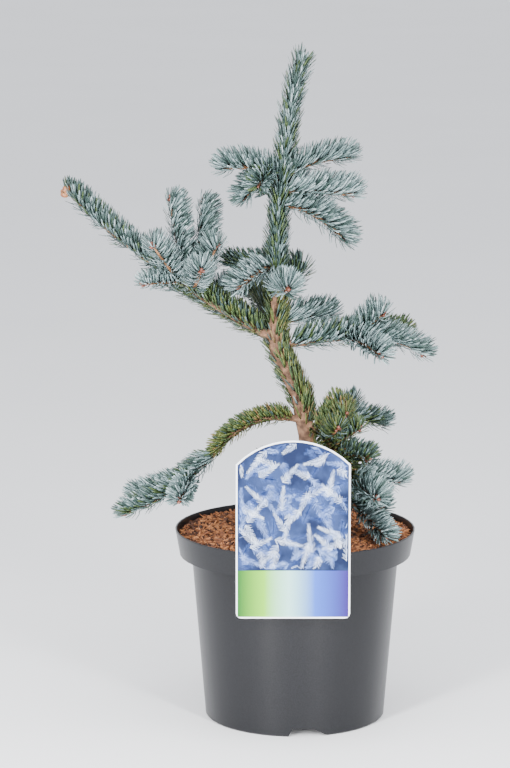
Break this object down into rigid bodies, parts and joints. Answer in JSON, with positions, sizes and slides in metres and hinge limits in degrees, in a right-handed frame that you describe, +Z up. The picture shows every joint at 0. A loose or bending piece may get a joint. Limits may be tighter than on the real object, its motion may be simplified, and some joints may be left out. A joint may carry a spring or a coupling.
{
  "type": "potted noble fir",
  "caption": "Young noble fir in a round nursery pot: leaning trunk, whorls of needled shoots, coir soil and a picture label hooked over the rim.",
  "frame": {"origin": "centre of the pot's flat underside", "axes": "+Z up along the pot's axis, -Y towards the viewer of the picture and the label's face"},
  "size_m": [0.3725, 0.2659, 0.6469],
  "materials": {
    "pot": "satin black",
    "soil": "loose coir chips",
    "label": "glossy print",
    "bark": "rough young bark",
    "needles_blue": "waxy blue-grey needles",
    "needles_green": "older olive-green needles"
  },
  "bodies": {
    "root": {"pot": "pot", "soil": "soil", "label": "label", "trunk": "bark", "bough_left": "bark", "bough_right": "bark", "bough_low_left": "bark", "bough_low_right": "bark", "bough_back": "bark", "bough_back_left": "bark", "bough_low_right_back": "bark", "bough_low_front": "bark", "bough_low_front_left": "bark", "bough_low_back": "bark", "foliage_upper_left": "needles_blue", "foliage_upper_back_left": "needles_blue", "foliage_upper_right_high": "needles_blue", "foliage_upper_right_middle": "needles_blue", "foliage_upper_right_low": "needles_blue", "foliage_upper_back": "needles_blue", "foliage_mid_left_back": "needles_blue", "foliage_mid_left": "needles_blue", "foliage_mid_front": "needles_blue", "foliage_mid_right": "needles_blue", "foliage_mid_back": "needles_blue", "foliage_right": "needles_blue", "foliage_right_back": "needles_blue", "foliage_left": "needles_blue", "foliage_back_left": "needles_blue", "foliage_back": "needles_blue", "foliage_low_left": "needles_green", "foliage_low_right": "needles_green", "foliage_low_right_back": "needles_blue", "foliage_low_front": "needles_blue", "foliage_low_front_left": "needles_blue", "foliage_low_back": "needles_blue", "foliage_trunk": "needles_blue", "foliage_mid_leader": "needles_blue", "foliage_leader": "needles_blue"}
  },
  "joints": []
}
